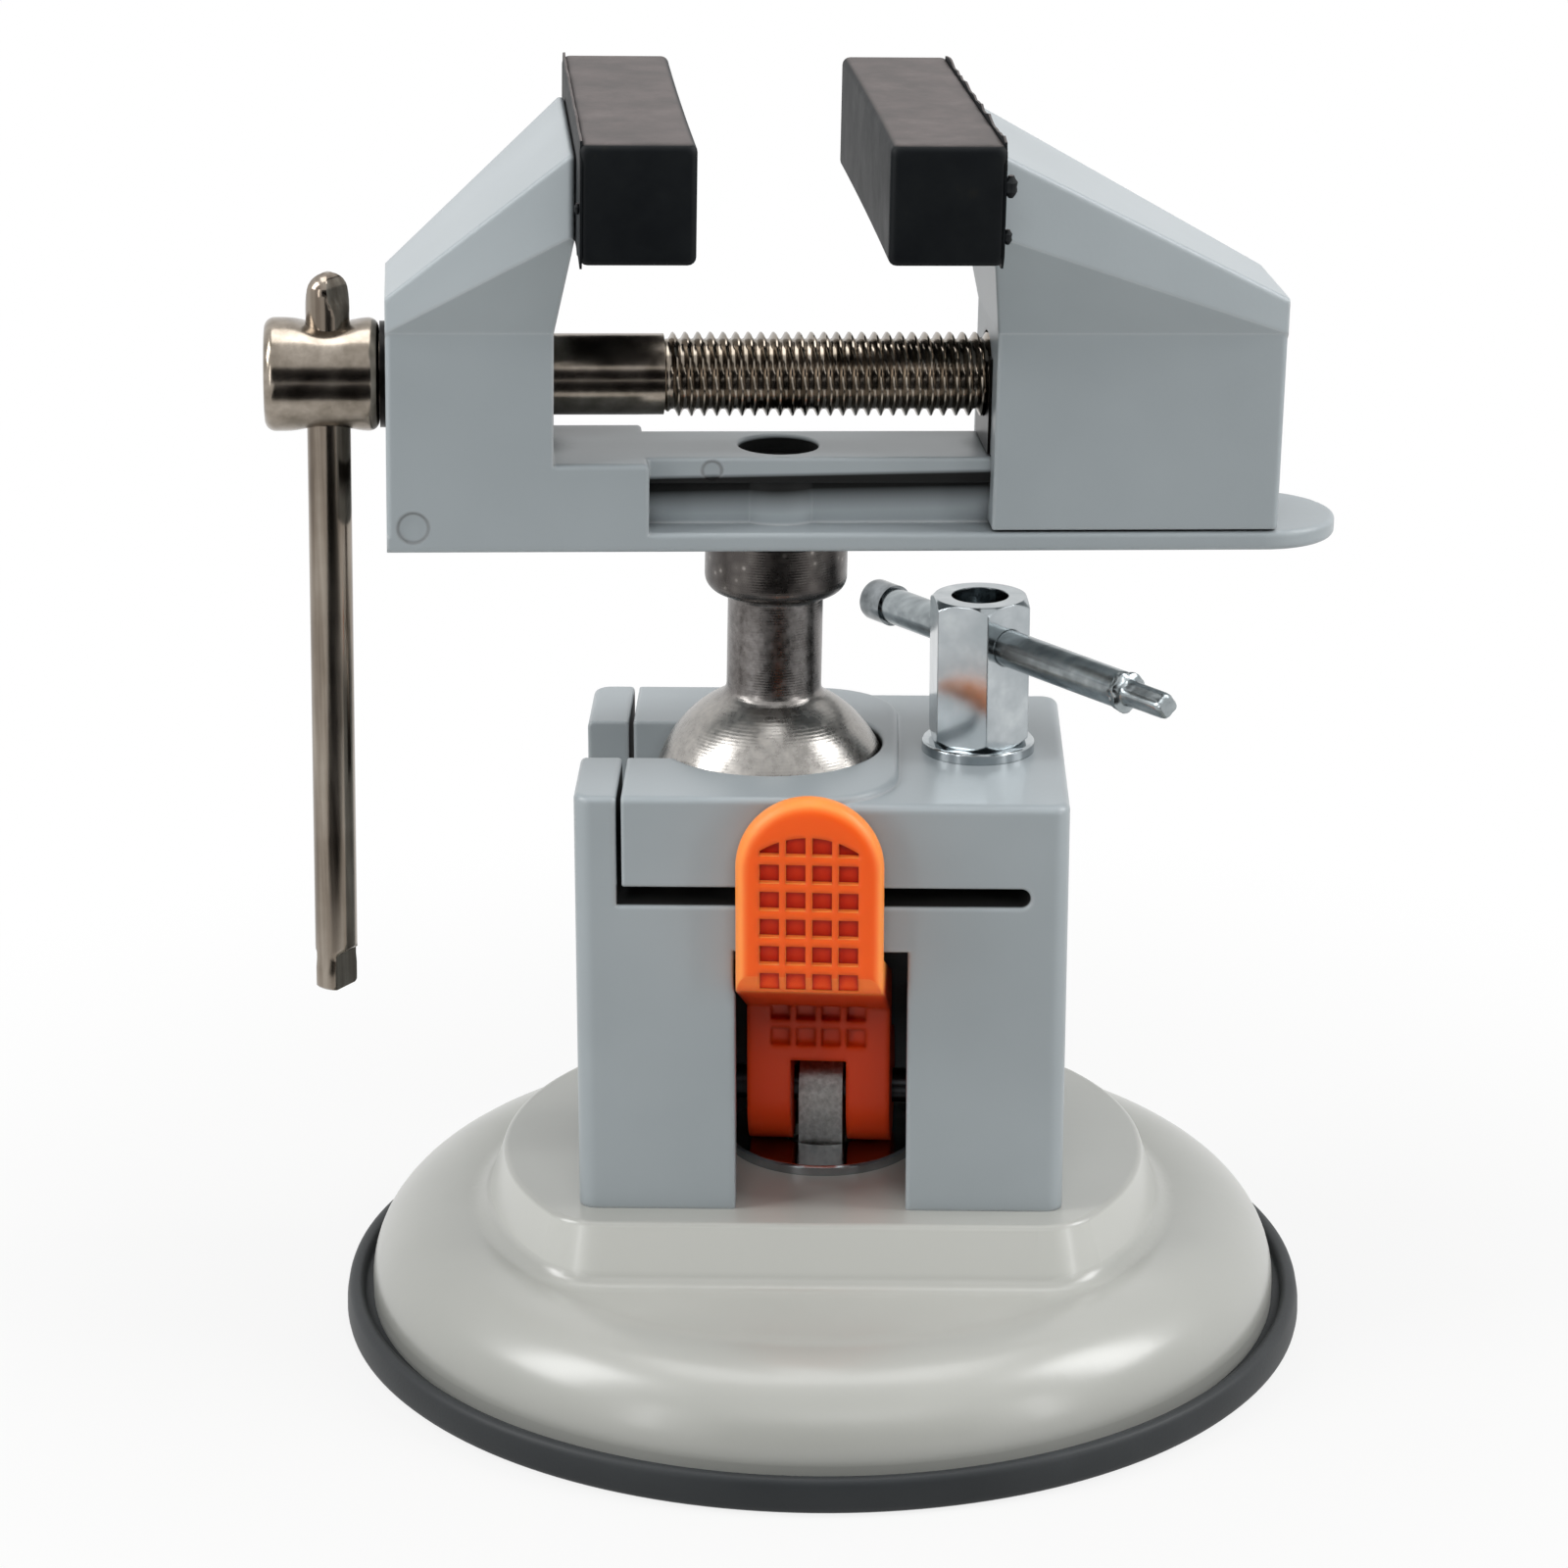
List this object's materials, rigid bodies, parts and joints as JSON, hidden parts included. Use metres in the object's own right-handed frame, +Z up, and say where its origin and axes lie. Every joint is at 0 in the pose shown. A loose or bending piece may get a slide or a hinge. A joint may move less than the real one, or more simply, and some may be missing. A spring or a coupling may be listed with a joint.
{
  "type": "suction base vise",
  "caption": "Small bench vise on a suction base: a cam lever pulls the cup down, a ball joint aims the head, and a screw closes two rubber-faced jaws.",
  "frame": {"origin": "centre of the suction cup's flat underside, on the bench", "axes": "+Z up; +X along the jaw screw from its head towards the moving jaw; -Y is the side the cam lever faces, with the base turned 5.75 degrees clockwise from it; the head is laid over 1.06 degrees towards +X on its ball, as it stands in the picture"},
  "size_m": [0.1493, 0.14, 0.1781],
  "materials": {
    "casting_paint": "satin grey paint over die-cast aluminium",
    "dome_paint": "satin warm grey paint over die-cast aluminium",
    "cup_rubber": "matt moulded rubber",
    "pad_rubber": "smooth moulded rubber",
    "orange_nylon": "semi-gloss moulded nylon",
    "ball_steel": "darkened turned steel",
    "nickel_plate": "nickel plate over turned steel",
    "zinc_plate": "bright zinc plate",
    "black_steel": "blackened steel",
    "plain_steel": "plain steel"
  },
  "bodies": {
    "base": {"suction_cup": "cup_rubber", "base_dome": "dome_paint", "cam_washer": "plain_steel", "block_screws": "plain_steel", "base_block": "casting_paint", "clamp_stud": "zinc_plate", "clamp_washer": "zinc_plate", "return_spring": "plain_steel"},
    "stem": {"cup_plate": "plain_steel", "pull_stem": "plain_steel", "lever_pin": "plain_steel"},
    "lever": {"cam_lever": "orange_nylon"},
    "clamp_nut": {"clamp_nut": "zinc_plate"},
    "clamp_bar": {"clamp_bar": "zinc_plate"},
    "ball_stud": {"ball_stud": "ball_steel"},
    "head": {"fixed_jaw": "casting_paint", "fixed_jaw_pad": "pad_rubber", "stud_washer": "black_steel", "stud_screw": "black_steel", "thrust_washer": "black_steel"},
    "moving_jaw": {"moving_jaw": "casting_paint", "moving_jaw_pad": "pad_rubber", "jaw_nut": "black_steel"},
    "jaw_screw": {"jaw_screw": "nickel_plate", "screw_clip": "black_steel"},
    "tommy_bar": {"tommy_bar": "nickel_plate"}
  },
  "joints": [
    {"name": "stem_lift", "type": "slide", "parent": "base", "child": "stem", "axis": [0, 0, 1], "range_m": [0, 0.0025], "deforming": ["return_spring"]},
    {"name": "lever_swing", "type": "hinge", "parent": "stem", "child": "lever", "pos_m": [0, 0, 0.0335], "axis": [0.9884, -0.1521, 0], "range_deg": [0, 60]},
    {"name": "nut_turn", "type": "hinge", "parent": "base", "child": "clamp_nut", "pos_m": [0.02179, -0.00219, 0.097], "axis": [0, 0, 1], "range_deg": [-105, 28]},
    {"name": "bar_slide", "type": "slide", "parent": "clamp_nut", "child": "clamp_bar", "axis": [0.5277, -0.8494, 0], "range_m": [-0.0244, 0.0128]},
    {"name": "ball_tilt", "type": "hinge", "parent": "base", "child": "ball_stud", "pos_m": [-0.00736, 0.00074, 0.0778], "axis": [0.1002, 0.995, 0], "range_deg": [-26, 13.9]},
    {"name": "head_swivel", "type": "hinge", "parent": "ball_stud", "child": "head", "pos_m": [-0.00664, 0.00074, 0.11689], "axis": [0.0185, 0, 0.9998], "range_deg": [-200, 130]},
    {"name": "jaw_slide", "type": "slide", "parent": "head", "child": "moving_jaw", "axis": [0.9998, 0, -0.0185], "range_m": [-0.0245, 0.029]},
    {"name": "screw_turn", "type": "hinge", "parent": "head", "child": "jaw_screw", "pos_m": [-0.06836, 0.00074, 0.14044], "axis": [0.9998, 0, -0.0185], "range_deg": [-6000, 5075]},
    {"name": "tommy_slide", "type": "slide", "parent": "jaw_screw", "child": "tommy_bar", "axis": [0.0185, 0, 0.9998], "range_m": [0, 0.077]}
  ],
  "couplings": [
    {"joint": "stem_lift", "follows": "lever_swing", "m_per_rad": 0.0023873},
    {"joint": "screw_turn", "follows": "jaw_slide", "rad_per_m": -3590.4}
  ]
}
